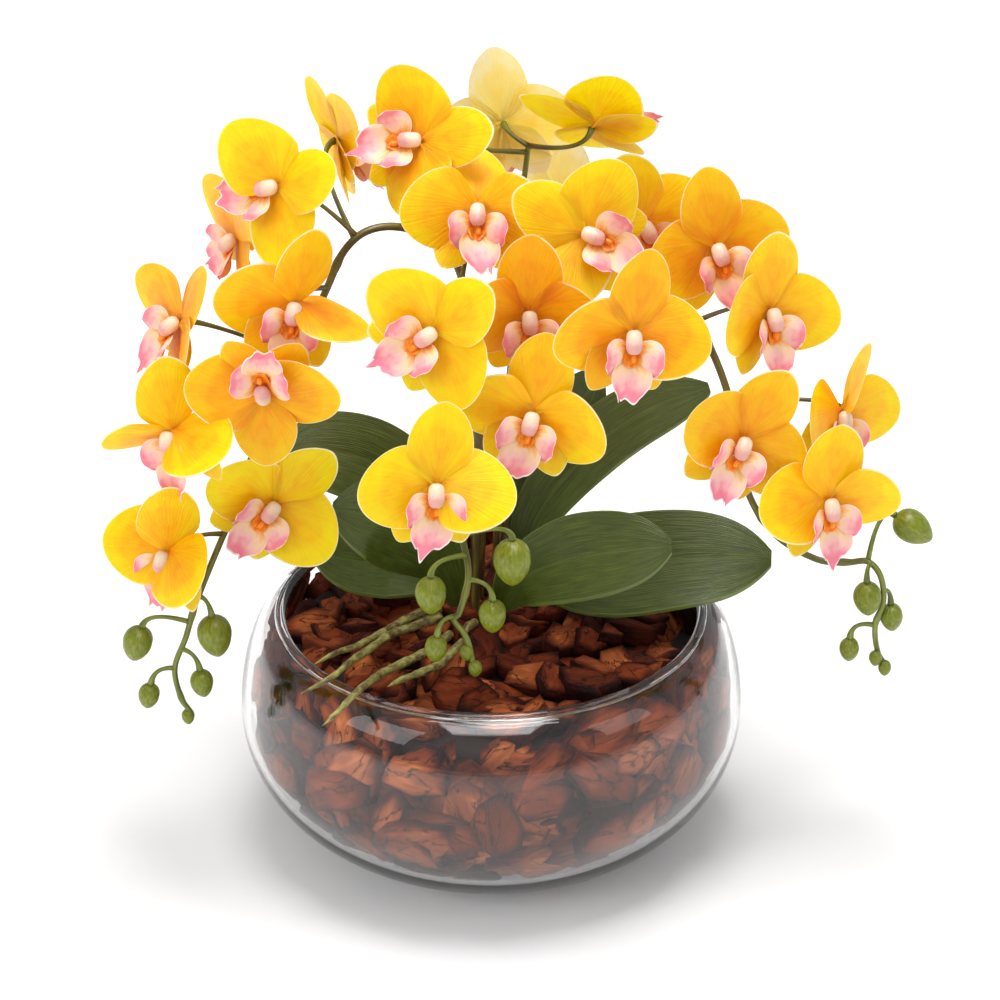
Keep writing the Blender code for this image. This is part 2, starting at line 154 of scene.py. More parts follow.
def bowl_wall(inset, floor):
    """Points (radius, height) up one side of the glass, from its floor to the bead of the rim."""
    lower = [math.radians(90 * step / WALL_STEPS) for step in range(WALL_STEPS + 1)]
    points = [(FOOT_RADIUS + (bowl_radius - inset - FOOT_RADIUS) * math.sin(a),
               BELLY_HEIGHT - (BELLY_HEIGHT - floor) * math.cos(a)) for a in lower]
    reach = bowl_radius - inset - MOUTH_RADIUS
    top = bowl_height - BEAD_RADIUS + (GLASS_THICKNESS / 2 - inset)
    last = math.acos(BEAD_RADIUS * 0.8 / reach)
    upper = [last * step / WALL_STEPS for step in range(1, WALL_STEPS + 1)]
    return points + [(MOUTH_RADIUS + reach * math.cos(a),
                      BELLY_HEIGHT + (top - BELLY_HEIGHT) * math.sin(a) / math.sin(last)) for a in upper]


def turn_solid(bm, profile, steps):
    """Spin a profile of (radius, height) once round the Z axis."""
    ring = [bm.verts.new((radius, 0, height)) for radius, height in profile]
    edges = [bm.edges.new(pair) for pair in zip(ring, ring[1:])]
    bmesh.ops.spin(bm, geom=ring + edges, cent=(0, 0, 0), axis=(0, 0, 1), angle=2 * math.pi, steps=steps,
                   use_merge=True)
    bmesh.ops.remove_doubles(bm, verts=bm.verts, dist=1e-6)
    bmesh.ops.recalc_face_normals(bm, faces=bm.faces)


def finish_piece(name, bm, finishes, nodes, sharp_above=0):
    """Make the mesh an object with its materials, and say what it stands for in the frame."""
    mesh = bpy.data.meshes.new(name)
    bm.to_mesh(mesh)
    bm.free()
    for finish in finishes:
        mesh.materials.append(finish)
    mesh.shade_smooth()
    if sharp_above:
        mesh.set_sharp_from_angle(angle=math.radians(sharp_above))
    made = bpy.data.objects.new(name, mesh)
    bpy.context.collection.objects.link(made)
    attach(made, "root")
    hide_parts(*nodes)


# Lamps shine straight through the glass, so it lights the bark and throws no dark shadow.
clear_glass, tree, glass_shader = new_finish("clear_glass", 0.0)
glass_shader.inputs["Base Color"].default_value = (1, 1, 1, 1)
glass_shader.inputs["IOR"].default_value = 1.45
glass_shader.inputs["Transmission Weight"].default_value = 1
lamp_path = tree.nodes.new("ShaderNodeLightPath")
lamp_way = tree.nodes.new("ShaderNodeBsdfTransparent")
glass_or_way = tree.nodes.new("ShaderNodeMixShader")
tree.links.new(lamp_path.outputs["Is Shadow Ray"], glass_or_way.inputs[0])
tree.links.new(glass_shader.outputs[0], glass_or_way.inputs[1])
tree.links.new(lamp_way.outputs[0], glass_or_way.inputs[2])
tree.links.new(glass_or_way.outputs[0], tree.nodes["Material Output"].inputs["Surface"])

bead = [(MOUTH_RADIUS + BEAD_RADIUS * math.cos(a), bowl_height - BEAD_RADIUS + BEAD_RADIUS * math.sin(a))
        for a in (math.radians(215 - 25 * step) for step in range(BEAD_STEPS + 1))]
inner_side = [(0, FLOOR_THICKNESS)] + bowl_wall(GLASS_THICKNESS, FLOOR_THICKNESS)
outer_side = bowl_wall(0, 0)[::-1] + [(0, 0)]
glass = bmesh.new()
turn_solid(glass, inner_side + bead + outer_side, BOWL_SIDES)
finish_piece("clear_glass_bowl", glass, [clear_glass], ["glass_bowl"])

# ---- bark ----
# Pine bark, broken to flat chips of two to five centimetres. They lie flat against the glass and
# heap loosely on top, over a dark core that is painted shade for the gaps between them. Each chip
# is darkened towards its rim by painted shade.

bark_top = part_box("bark_bed")[1][2]
BARK_CLEARANCE = 0.0006
BARK_SEED = 11
noise.seed_set(BARK_SEED)


def streaks(tree, attribute, scale, detail, stretch):
    """Noise drawn out along a piece's own grain, from a vector attribute of the mesh."""
    grain = tree.nodes.new("ShaderNodeAttribute")
    grain.attribute_name = attribute
    mapping = tree.nodes.new("ShaderNodeMapping")
    mapping.inputs["Scale"].default_value = stretch
    pattern = tree.nodes.new("ShaderNodeTexNoise")
    pattern.inputs["Scale"].default_value = scale
    pattern.inputs["Detail"].default_value = detail
    tree.links.new(grain.outputs["Vector"], mapping.inputs["Vector"])
    tree.links.new(mapping.outputs["Vector"], pattern.inputs["Vector"])
    return pattern.outputs["Fac"]


def ramp(tree, value, stops):
    """Colours along a value, from (position, web code) stops."""
    made = tree.nodes.new("ShaderNodeValToRGB")
    while len(made.color_ramp.elements) < len(stops):
        made.color_ramp.elements.new(0.5)
    for element, (position, code) in zip(made.color_ramp.elements, stops):
        element.position = position
        element.color = shade(code)
    tree.links.new(value, made.inputs["Fac"])
    return made.outputs["Color"]


def sum_of(tree, operation, first, second):
    """A maths node on two values, each a socket or a number."""
    made = tree.nodes.new("ShaderNodeMath")
    made.operation = operation
    for socket, value in zip(made.inputs, (first, second)):
        if isinstance(value, (int, float)):
            socket.default_value = value
        else:
            tree.links.new(value, socket)
    return made.outputs[0]


def blend_colours(tree, share, first, second, kind="MIX"):
    """Two colours, each a socket or a value, mixed by a share or in another kind of blend."""
    made = tree.nodes.new("ShaderNodeMix")
    made.data_type = "RGBA"
    made.blend_type = kind
    for socket, value in zip((made.inputs[0], made.inputs[6], made.inputs[7]), (share, first, second)):
        if isinstance(value, (int, float, list)):
            socket.default_value = value
        else:
            tree.links.new(value, socket)
    return made.outputs[2]


def add_bump(tree, shader, height, depth):
    """Relief on a shader from a value, as deep as the depth in metres."""
    bump = tree.nodes.new("ShaderNodeBump")
    bump.inputs["Strength"].default_value = 1
    bump.inputs["Distance"].default_value = depth
    tree.links.new(height, bump.inputs["Height"])
    tree.links.new(bump.outputs["Normal"], shader.inputs["Normal"])


def channel(tree, attribute, part):
    """One of the three numbers of a vector attribute."""
    read = tree.nodes.new("ShaderNodeAttribute")
    read.attribute_name = attribute
    split = tree.nodes.new("ShaderNodeSeparateXYZ")
    tree.links.new(read.outputs["Vector"], split.inputs[0])
    return split.outputs[part]


bark_finish, tree, shader = new_finish("bark_chip", 0.78)
shader.inputs["Specular IOR Level"].default_value = 0.15
layers = streaks(tree, "grain", 100, 6, (0.7, 2.4, 5))
patches = streaks(tree, "grain", 55, 3, (1, 1.4, 1))
split_lines = streaks(tree, "grain", 75, 4, (0.5, 1.5, 2))
layer_colour = ramp(tree, layers, [(0.30, "60331F"), (0.45, "8A4E2E"), (0.58, "A86238"), (0.74, "D49A64")])
patch_colour = ramp(tree, patches, [(0.35, "743C22"), (0.62, "BC7442")])
mixed = blend_colours(tree, 0.5, layer_colour, patch_colour)
chip_tone = ramp(tree, channel(tree, "tone", "X"), [(0.0, "6C4632"), (0.5, "C0957A"), (1.0, "FFEEDC")])
toned = blend_colours(tree, 1.0, mixed, chip_tone, "MULTIPLY")
crack = sum_of(tree, "ABSOLUTE", sum_of(tree, "SUBTRACT", split_lines, 0.5), 0)
crack_dark = ramp(tree, crack, [(0.0, "523224"), (0.022, "FFFFFF")])
cracked = blend_colours(tree, 1.0, toned, crack_dark, "MULTIPLY")
# Painted shade: each chip darkens towards its rim, standing in for the shade between the chips.
edge_shade = ramp(tree, channel(tree, "tone", "Y"), [(0.30, "FFFFFF"), (0.80, "A08066"), (1.0, "56382A")])
tree.links.new(blend_colours(tree, 1.0, cracked, edge_shade, "MULTIPLY"), shader.inputs["Base Color"])
relief = sum_of(tree, "ADD", layers, sum_of(tree, "MULTIPLY", patches, 0.5))
add_bump(tree, shader, sum_of(tree, "ADD", relief, sum_of(tree, "MINIMUM", crack, 0.03)), 0.0018)


def inside_glass(height):
    """The radius of the space inside the bowl at a height."""
    low = BELLY_HEIGHT - FLOOR_THICKNESS
    if height < BELLY_HEIGHT:
        return FOOT_RADIUS + (bowl_radius - GLASS_THICKNESS - FOOT_RADIUS) * math.sqrt(
            max(0, 1 - ((BELLY_HEIGHT - height) / low) ** 2))
    rise = min(1, (height - BELLY_HEIGHT) / (bowl_height - BELLY_HEIGHT))
    return MOUTH_RADIUS + (bowl_radius - GLASS_THICKNESS - MOUTH_RADIUS) * math.sqrt(1 - rise**2)


def new_part(*layers):
    """An empty mesh whose points hold these vectors, for the materials to read."""
    bm = bmesh.new()
    for layer in layers:
        bm.verts.layers.float_vector.new(layer)
    return bm


def join_part(bm, part):
    """Add one part to the mesh of its piece, with its points' vectors."""
    held = bpy.data.meshes.new("part")
    part.to_mesh(held)
    part.free()
    bm.from_mesh(held)
    bpy.data.meshes.remove(held)


# The bevel, the inset of the faces and the start and span of the painted shade at the edge are
# shares of a chip one unit across. The shortest chip's length is in metres.
CHIP_BEVEL = 0.09
CHIP_INSET = 0.13
EDGE_SHADE_STARTS = 0.24
EDGE_SHADE_SPAN = 0.24
SHORTEST_CHIP = 0.024


def add_chip(bm, place, turn, size, corners, depth_in, tone, seed):
    """A broken flake of bark: an uneven slab with broken corners, rounded edges and a layered grain,
    darkened towards its rim by painted shade. It is made one unit across, bent by noise, then sized,
    turned and kept inside the glass."""
    draw = random.Random(seed)
    chip = new_part("tone", "grain")
    bmesh.ops.create_cone(chip, cap_ends=True, segments=corners, radius1=0.5, radius2=0.5, depth=1)
    reaches = [draw.uniform(0.72, 1.12) for _ in range(corners)]
    for vert in chip.verts:
        reach = reaches[round(math.atan2(vert.co.y, vert.co.x) / math.tau * corners) % corners]
        vert.co.x = vert.co.x * reach + draw.uniform(-0.05, 0.05)
        vert.co.y = vert.co.y * reach + draw.uniform(-0.05, 0.05)
    rims = [edge for edge in chip.edges if edge.verts[0].co.z * edge.verts[1].co.z > 0]
    bmesh.ops.bevel(chip, geom=rims, offset=CHIP_BEVEL, offset_type="OFFSET", affect="EDGES", segments=2,
                    profile=0.5, material=-1)
    caps = [face for face in chip.faces if len(face.verts) == corners]
    bmesh.ops.inset_individual(chip, faces=caps, thickness=CHIP_INSET)
    bmesh.ops.poke(chip, faces=[face for face in chip.faces if len(face.verts) == corners])
    tone_layer = chip.verts.layers.float_vector["tone"]
    grain_layer = chip.verts.layers.float_vector["grain"]
    shift = Vector((seed * 0.37, seed * 0.11, 0))
    for vert in chip.verts:
        spot = vert.co.copy()
        # How near the rim a point lies, for the painted shade at the chip's edge.
        edge_shade = max(0, min(1, (math.hypot(spot.x, spot.y) - EDGE_SHADE_STARTS) / EDGE_SHADE_SPAN))
        vert.co += 0.10 * noise.noise_vector(spot * 1.9 + shift)
        vert.co.z += 0.30 * noise.noise(spot * 2.6 + shift)
        vert.co = Vector((vert.co.x * size[0], vert.co.y * size[1], vert.co.z * size[2]))
        vert[grain_layer] = vert.co + Vector((seed * 0.013, seed * 0.007, seed * 0.005))
        vert[tone_layer] = (tone, edge_shade, 0)
        vert.co = place + turn @ vert.co
        vert.co.z = max(vert.co.z, FLOOR_THICKNESS + BARK_CLEARANCE + depth_in)
        wall = inside_glass(vert.co.z) if vert.co.z < bowl_height else MOUTH_RADIUS
        limit = wall - BARK_CLEARANCE - depth_in
        across = math.hypot(vert.co.x, vert.co.y)
        if across > limit:
            vert.co.x *= limit / across
            vert.co.y *= limit / across
    join_part(bm, chip)


def chip_size(draw, largest):
    """Length, width and thickness of one chip."""
    length = draw.uniform(SHORTEST_CHIP, largest)
    return Vector((length, length * draw.uniform(0.55, 0.85), draw.uniform(0.006, 0.010)))


def loose_turn(draw, tilt, roll):
    """Any turn about the chip's own upright, and a little lean each way, in radians."""
    return (Matrix.Rotation(draw.uniform(0, 6.3), 3, "Z") @ Matrix.Rotation(draw.uniform(-tilt, tilt), 3, "X")
            @ Matrix.Rotation(draw.uniform(-roll, roll), 3, "Y"))


# These chips climb the glass on a spiral of golden turns, so no rows show, and a third of them lie
# at each depth.
GOLDEN_TURN = math.radians(137.508)
WALL_CHIPS = 300
WALL_LAYERS = (0.0058, 0.012, 0.019)
LONGEST_WALL_CHIP = 0.050
LOWEST_CHIP = FLOOR_THICKNESS + 0.006
CHIPS_RISE = bark_top - FLOOR_THICKNESS - 0.010
SLOPE_STEP = 0.004
STEEPEST_SLOPE = 2.5
draw = random.Random(BARK_SEED)
wall_chips = new_part("tone", "grain")
for number in range(WALL_CHIPS):
    height = LOWEST_CHIP + CHIPS_RISE * ((number + 0.5) / WALL_CHIPS)
    around = number * GOLDEN_TURN + draw.uniform(-0.1, 0.1)
    slope = (inside_glass(height + SLOPE_STEP) - inside_glass(height - SLOPE_STEP)) / (2 * SLOPE_STEP)
    fall = -max(-STEEPEST_SLOPE, min(STEEPEST_SLOPE, slope))
    outward = Vector((math.cos(around), math.sin(around), fall)).normalized()
    deep = WALL_LAYERS[number % 3] + draw.uniform(-0.001, 0.002)
    turn = outward.to_track_quat("Z", "Y").to_matrix() @ loose_turn(draw, 0.16, 0.12)
    place = Vector((math.cos(around), math.sin(around), 0)) * inside_glass(height) + Vector((0, 0, height))
    place -= outward * deep
    size = chip_size(draw, LONGEST_WALL_CHIP)
    corners = draw.choice((6, 7, 8))
    off_glass = draw.uniform(0, 0.0016)
    add_chip(wall_chips, place, turn, size, corners, off_glass, draw.uniform(0.18, 1.0), number)
finish_piece("bark_against_glass", wall_chips, [bark_finish], ["bark_bed"])

TOP_CHIPS = 150
TOP_LAYERS = (-0.012, -0.0065, -0.0035)
TOP_REACH = 0.092
LONGEST_TOP_CHIP = 0.038
FIRST_TOP_SEED = 1000
top_chips = new_part("tone", "grain")
for number in range(TOP_CHIPS):
    reach = TOP_REACH * math.sqrt((number + 0.5) / TOP_CHIPS)
    around = number * GOLDEN_TURN + 1
    lift = TOP_LAYERS[number % 3] + draw.uniform(-0.0015, 0.0015)
    turn = loose_turn(draw, 0.42, 0.34)
    place = Vector((reach * math.cos(around), reach * math.sin(around), bark_top + lift))
    size = chip_size(draw, LONGEST_TOP_CHIP)
    corners = draw.choice((5, 6, 7))
    add_chip(top_chips, place, turn, size, corners, 0, draw.uniform(0.15, 1.0), FIRST_TOP_SEED + number)
finish_piece("bark_on_top", top_chips, [bark_finish], ["bark_bed"])

# The core is painted shade: a dark solid behind the chips that stands in for the shade in the gaps between
# them.
CORE_DEPTH = 0.018
CORE_STEPS = 16
CORE_SIDES = 64
shade_core_finish, tree, shader = new_finish("painted_shade_core", 0.95)
shader.inputs["Base Color"].default_value = shade("1E0D08")
core_low = FLOOR_THICKNESS + 0.003
core_rise = bark_top - 0.012 - FLOOR_THICKNESS
core_heights = [core_low + core_rise * step / CORE_STEPS for step in range(CORE_STEPS + 1)]
core_side = [(inside_glass(height) - CORE_DEPTH, height) for height in core_heights]
core = bmesh.new()
turn_solid(core, [(0, core_heights[0])] + core_side + [(0, core_heights[-1])], CORE_SIDES)
finish_piece("painted_shade_core", core, [shade_core_finish], ["bark_bed"])

# ---- aerial roots ----
# Thick roots that grew out over the bark and the rim. They have a soft skin, swollen in rings at
# their joints, with brown scars, and each runs out to a point.

bark_centre = Vector((0, 0, bark_top))


def smooth_route(points, per_span):
    """Points on a smooth curve that passes through every given point."""
    knots = [Vector(p) for p in points]
    knots = [2 * knots[0] - knots[1]] + knots + [2 * knots[-1] - knots[-2]]
    route = []
    for before, start, end, after in zip(knots, knots[1:], knots[2:], knots[3:]):
        for step in range(per_span):
            t = step / per_span
            route.append(0.5 * (2 * start + (end - before) * t
                                + (2 * before - 5 * start + 4 * end - after) * t**2
                                + (3 * start - before - 3 * end + after) * t**3))
    route.append(knots[-2])
    return route


def on_bark(points):
    """Places given in millimetres from the middle of the bark's surface."""
    return [bark_centre + Vector(point) * MM for point in points]


def grow_tube(bm, route, width, sides, tone=None):
    """A closed round stalk along the route. width(share, metres) is its radius, tone(share) its age."""
    tube = new_part("tone", "grain")
    bmesh.ops.create_cone(tube, cap_ends=True, segments=sides, radius1=1, radius2=1, depth=1)
    uprights = [edge for edge in tube.edges if abs(edge.verts[0].co.z - edge.verts[1].co.z) > 0.5]
    bmesh.ops.subdivide_edges(tube, edges=uprights, cuts=len(route) - 2)
    along, headings, sideways = [0.0], [], []
    for number, point in enumerate(route):
        if number:
            along.append(along[-1] + (point - route[number - 1]).length)
        ahead = route[min(number + 1, len(route) - 1)] - route[max(number - 1, 0)]
        headings.append(ahead.normalized())
        guide = sideways[-1] if sideways else headings[0].orthogonal()
        sideways.append((guide - headings[-1] * guide.dot(headings[-1])).normalized())
    grain_layer = tube.verts.layers.float_vector["grain"]
    tone_layer = tube.verts.layers.float_vector["tone"]
    for vert in tube.verts:
        station = round((vert.co.z + 0.5) * (len(route) - 1))
        share = station / (len(route) - 1)
        radius = width(share, along[station])
        vert[tone_layer] = (tone(share) if tone else 0, 0, 0)
        side, heading = sideways[station], headings[station]
        out = side * vert.co.x + heading.cross(side) * vert.co.y
        vert[grain_layer] = (vert.co.x * radius, vert.co.y * radius, along[station])
        vert.co = route[station] + out * radius
    join_part(bm, tube)


root_finish, tree, shader = new_finish("root_skin", 0.55)
blotches = streaks(tree, "grain", 260, 3, (1, 1, 0.55))
speckle = streaks(tree, "grain", 900, 2, (1, 1, 0.4))
skin = ramp(tree, blotches, [(0.40, "4A3A1C"), (0.50, "7D7A3A"), (0.62, "A5A455"), (0.8, "B9B478")])
tree.links.new(blend_colours(tree, 0.3, skin, ramp(tree, speckle, [(0.4, "5C4A22"), (0.7, "C2BE82")])),
               shader.inputs["Base Color"])
add_bump(tree, shader, speckle, 0.0004)

# Each root's route, in millimetres from the middle of the bark's surface.
ROOT_RADIUS = 0.0023
ROOT_SIDES = 14
RING_SPACING = 0.011
ROOTS = {
    "root_over_rim_1": [(-26, 10, 4), (-39, 0, 5), (-52, -17, 6), (-64, -36, 9), (-73, -55, 16),
                        (-83, -68, 17)],
    "root_over_rim_2": [(-25, 2, 4), (-38, -8, 4), (-49, -22, 7), (-58, -41, 10), (-65, -60, 15),
                        (-71, -75, 17), (-78, -83, 16), (-88, -86, 12)],
    "root_over_rim_3": [(-20, -16, 4), (-31, -33, 4), (-49, -58, 8), (-55, -75, 13), (-61, -92, 17),
                        (-69, -110, 17), (-76, -118, 14)],
    "root_beside_rim": [(-14, -24, 4), (-24, -44, 4), (-33, -58, 7), (-42, -70, 10), (-48, -80, 12)],
    "short_root": [(-8, -4, 4), (-12, -12, 5), (-13, -22, 3.5)],
}


def root_width(phase):
    """A root's radius along its route: ringed at its joints, wavy, and drawn to a point."""
    def width(share, metres):
        joint = abs((metres / RING_SPACING + phase) % 1 - 0.5) * 2
        knob = 1 + 0.16 * joint**6 - 0.07 * math.sin(metres * 420 + phase)
        taper = 1 - 0.62 * share**1.6
        return ROOT_RADIUS * knob * taper * min(1, 0.12 + (1 - share) * 9)
    return width


for number, (name, points) in enumerate(ROOTS.items()):
    bm = new_part("tone", "grain")
    grow_tube(bm, smooth_route(on_bark(points), 14), root_width(number * 0.37), ROOT_SIDES)
    finish_piece(f"{name}_skin", bm, [root_finish], [name])

# ---- leaves ----
# Thick strap leaves, creased along the middle, waxy and dark green above. Fine veins run
# along them, the edge is a thin lighter line, and a painted highlight lightens the crease.

LEAF_THICKNESS = 0.0016
LEAF_CREASE = 0.005
LEAF_WAVE = 0.0011
CELLS_ACROSS = 22

# Each leaf: its midrib in millimetres from the middle of the bark's surface, the way its upper
# side faces, and its width in millimetres.
LEAVES = {
    "left_back_leaf": ([(-14, 44, 2), (-26, 47, 27), (-42, 50, 52), (-62, 50, 67), (-84, 47, 74),
                        (-104, 42, 74)],
                       (-0.25, -0.75, 0.62), 44),
    "left_middle_leaf": ([(-17, 18, 2), (-24, 11, 26), (-36, 3, 46), (-52, -6, 62), (-76, -14, 72)],
                         (-0.3, -0.8, 0.5), 44),
    "left_low_leaf": ([(-20, 28, 4), (-34, 28, 15), (-50, 25, 22), (-68, 18, 28), (-88, 12, 34)],
                      (-0.15, -0.7, 0.7), 36),
    "right_front_leaf": ([(4, 16, 2), (14, 4, 24), (34, -10, 42), (58, -20, 52), (86, -28, 59)],
                         (0.0, -0.8, 0.6), 42),
    "right_long_leaf": ([(14, 28, 6), (32, 22, 19), (60, 12, 27), (98, 4, 36), (137, -2, 39)],
                        (0.05, -0.72, 0.68), 52),
    "right_upper_leaf": ([(16, 44, 2), (20, 46, 34), (42, 50, 66), (71, 52, 91), (108, 50, 107)],
                         (-0.45, -0.75, 0.45), 34),
    "back_leaf": ([(10, 64, 2), (20, 66, 40), (38, 70, 76), (54, 74, 106)],
                  (-0.35, -0.9, 0.2), 32),
}

leaf_finish, tree, shader = new_finish("waxy_leaf", 0.33)
across = channel(tree, "blade", "X")
veins = streaks(tree, "blade", 1, 3, (46, 3, 0))
cloud = streaks(tree, "blade", 3, 3, (1.2, 2.4, 1))
green = ramp(tree, veins, [(0.35, "293810"), (0.5, "3B4B16"), (0.66, "566A22")])
warmed = blend_colours(tree, sum_of(tree, "MULTIPLY", cloud, 0.5), green, shade("5C6F24"))
# Painted highlight: a greyish, lighter stripe along the middle stands in for the sheen on the crease.
midrib_highlight = sum_of(tree, "LESS_THAN", sum_of(tree, "ABSOLUTE", across, 0), 0.035)
with_midrib_highlight = blend_colours(tree, sum_of(tree, "MULTIPLY", midrib_highlight, 0.16), warmed, shade("7C8A4A"))
rim = sum_of(tree, "GREATER_THAN", sum_of(tree, "ABSOLUTE", across, 0), 0.975)
tree.links.new(blend_colours(tree, sum_of(tree, "MULTIPLY", rim, 0.3), with_midrib_highlight, shade("8E9C50")),
               shader.inputs["Base Color"])
add_bump(tree, shader, veins, 0.0005)
shader.inputs["Coat Weight"].default_value = 0.15
shader.inputs["Coat Roughness"].default_value = 0.25

for number, (name, (midrib_points, face, width)) in enumerate(LEAVES.items()):
    rib = smooth_route(on_bark(midrib_points), 12)
    last = len(rib) - 1
    face = Vector(face).normalized()
    bm = bmesh.new()
    blade_layer = bm.verts.layers.float_vector.new("blade")
    bmesh.ops.create_grid(bm, x_segments=last, y_segments=CELLS_ACROSS, size=1)
    for vert in bm.verts:
        station = round((vert.co.x + 1) / 2 * last)
        along, off = station / last, vert.co.y
        heading = (rib[min(station + 1, last)] - rib[max(station - 1, 0)]).normalized()
        side = face.cross(heading).normalized()
        normal = heading.cross(side)
        broad = 0.16 + 0.84 * math.sin(math.pi * min(along, 0.62) / 1.24)
        spread = width * MM / 2 * broad * (1 - 0.86 * along**9)
        dip = LEAF_CREASE * (abs(off) - 1) * math.sin(math.pi * along)
        shift = 1.3 if off > 0 else 0
        wave = LEAF_WAVE * off**2 * math.sin(along * 9 + number * 2 + shift) * min(1, 4 * (1 - along))
        vert[blade_layer] = (off, along * 2 + number * 3, 0)
        vert.co = rib[station] + side * off * spread + normal * (dip + wave)
    bmesh.ops.solidify(bm, geom=bm.faces[:], thickness=LEAF_THICKNESS)
    bmesh.ops.recalc_face_normals(bm, faces=bm.faces)
    finish_piece(f"{name}_blade", bm, [leaf_finish], [name], sharp_above=50)

# ---- spikes ----
# Four flower spikes grew up from the plant and arch over. Each is one woody stem that thickens at
# its joints and turns green at its tip, with a thin stalk to every flower and bud.

# Each spike: the route of its stem, then its flowers as (place, azimuth, tilt, spin), then its
# buds as (middle, lean, length), in millimetres from the middle of the bark's surface.
SPIKES = {
    "left": {
        "route": [(-6, 34, 0), (-5, 33, 40), (-5, 31, 80), (-6, 28, 112), (-9, 26, 148),
                  (-15, 24, 179), (-25, 20, 195), (-42, 14, 204), (-57, 9, 204), (-68, 6, 195),
                  (-76, 4, 178), (-86, 2, 156), (-98, -1, 134), (-108, -5, 112), (-117, -12, 88),
                  (-125, -22, 68), (-133, -32, 51), (-141, -38, 32), (-146, -40, 16), (-152, -42, 0),
                  (-150, -42, -16), (-146, -42, -24)],
        "flowers": [((-95, 0, 229), -42, 15, 65), ((-74, 76, 226), 112, 10, 50),
                    ((-88, -32, 186), 5, 4, 14), ((-142, -10, 167), -60, 15, 35),
                    ((-102, -47, 144), -6, -8, 180), ((-146, -44, 128), -34, -12, -6),
                    ((-101, -24, 81), 10, 2, 46), ((-151, -44, 66), -42, -10, 6),
                    ((-120, 42, 189), -70, 0, 40)],
        "buds": [((-169, -42, 14), (-0.3, 0, -1), 18), ((-132, -40, 17), (0.1, 0, -1), 21),
                 ((-165, -44, -14), (-0.2, 0, -1), 13), ((-139, -44, -7), (0.1, 0, -1), 14)],
        "tip_buds": [(-147, -42, -27)],
    },
    "right": {
        "route": [(6, 40, 0), (7, 41, 38), (9, 43, 76), (13, 45, 113), (22, 46, 148), (37, 44, 166),
                  (58, 40, 175), (78, 34, 170), (95, 26, 157), (106, 18, 139), (114, 10, 119),
                  (119, 4, 96), (125, -2, 72), (138, -10, 55), (157, -17, 46), (171, -22, 47),
                  (180, -27, 50), (186, -31, 44), (188, -32, 31), (185, -32, 18), (187, -32, 4),
                  (192, -32, -5)],
        "flowers": [((63, -60, 184), 12, 4, 8), ((103, 2, 201), 18, 8, -12),
                    ((127, -20, 178), 35, 5, 5), ((117, -41, 123), 15, 2, 32),
                    ((166, -2, 119), 36, -8, 12), ((156, -45, 94), 28, -4, 2),
                    ((70, 24, 204), 25, 0, -20)],
        "buds": [((201, -22, 66), (0.8, -0.2, -0.5), 20), ((180, -34, 34), (0.1, 0, -1), 17),
                 ((193, -29, 21), (0.1, 0, -1), 14), ((173, -34, 6), (0, 0, -1), 12)],
        "tip_buds": [(186, -34, 1), (191, -33, -5)],
    },
    "front": {
        "route": [(-8, 14, 0), (-8, 13, 52), (-8, 11, 86), (-8, 8, 119), (-11, 0, 152),
                  (-16, -12, 172), (-18, -26, 178), (-19, -38, 168), (-19, -42, 150), (-18, -46, 124),
                  (-16, -54, 100), (-13, -66, 84), (-10, -74, 68), (-14, -78, 51), (-17, -78, 47),
                  (-11, -78, 37), (-8, -79, 24)],
        "flowers": [((-6, 3, 219), 5, 25, 5), ((41, -8, 210), 15, 20, -60),
                    ((17, -32, 182), 10, 0, 0), ((-23, -52, 180), -20, 12, 50),
                    ((20, -59, 144), -8, 2, 14), ((-24, -87, 122), 8, 4, 6)],
        "buds": [((-27, -84, 63), (0, 0, -1), 18), ((10, -80, 78), (0, 0, -1), 22),
                 ((-25, -84, 35), (-0.1, 0, -1), 13), ((1, -80, 50), (0, 0, -1), 16)],
        "tip_buds": [(-11, -79, 30), (-7, -80, 22)],
    },
    "back": {
        "route": [(2, 54, 0), (4, 55, 43), (7, 58, 86), (11, 61, 128), (13, 62, 170), (15, 62, 201),
                  (18, 61, 228)],
        "flowers": [((-31, 31, 240), -25, 30, 75), ((6, 77, 234), 190, 5, 10),
                    ((48, 54, 240), 165, 45, 70), ((36, 98, 184), 160, 0, 0)],
        "buds": [],
        "tip_buds": [],
    },
}
STEM_RADIUS = 0.0022
STEM_TIP_RADIUS = 0.0013
STALK_RADIUS = 0.0012
JOINT_SPACING = 0.046
STEM_FOOT_DEPTH = 0.014
STEM_SIDES = 14
STALK_SIDES = 12
STALK_STEPS = 12
POINTS_PER_SPAN = 8
BARE_SPANS = 4
TIP_BUD_LENGTH = 0.008
FLOWER_NECK = 0.0012
FLOWER_STALK = 0.022
FLOWER_HOOK = 0.014
BUD_STALK = 0.008
BUD_HOOK = 0.010

stem_finish, tree, shader = new_finish("stem_skin", 0.38)
fibres = streaks(tree, "grain", 420, 3, (1, 1, 0.12))
marks = streaks(tree, "grain", 120, 3, (1, 1, 0.5))
woody = ramp(tree, fibres, [(0.35, "33220F"), (0.5, "5A4420"), (0.65, "7A6A33")])
fresh = ramp(tree, fibres, [(0.35, "5A6A20"), (0.5, "7A8B2E"), (0.65, "99A845")])
coloured = blend_colours(tree, channel(tree, "tone", "X"), woody, fresh)
tree.links.new(blend_colours(tree, sum_of(tree, "MULTIPLY", marks, 0.5), coloured, shade("4A3A1C")),
               shader.inputs["Base Color"])
add_bump(tree, shader, fibres, 0.0003)
bud_finish, tree, shader = new_finish("bud_skin", 0.36)
bud_streaks = streaks(tree, "grain", 1, 3, (5, 1.5, 1))
tree.links.new(ramp(tree, bud_streaks, [(0.3, "626E10"), (0.5, "757F16"), (0.7, "8A9222")]),
               shader.inputs["Base Color"])
add_bump(tree, shader, bud_streaks, 0.0003)
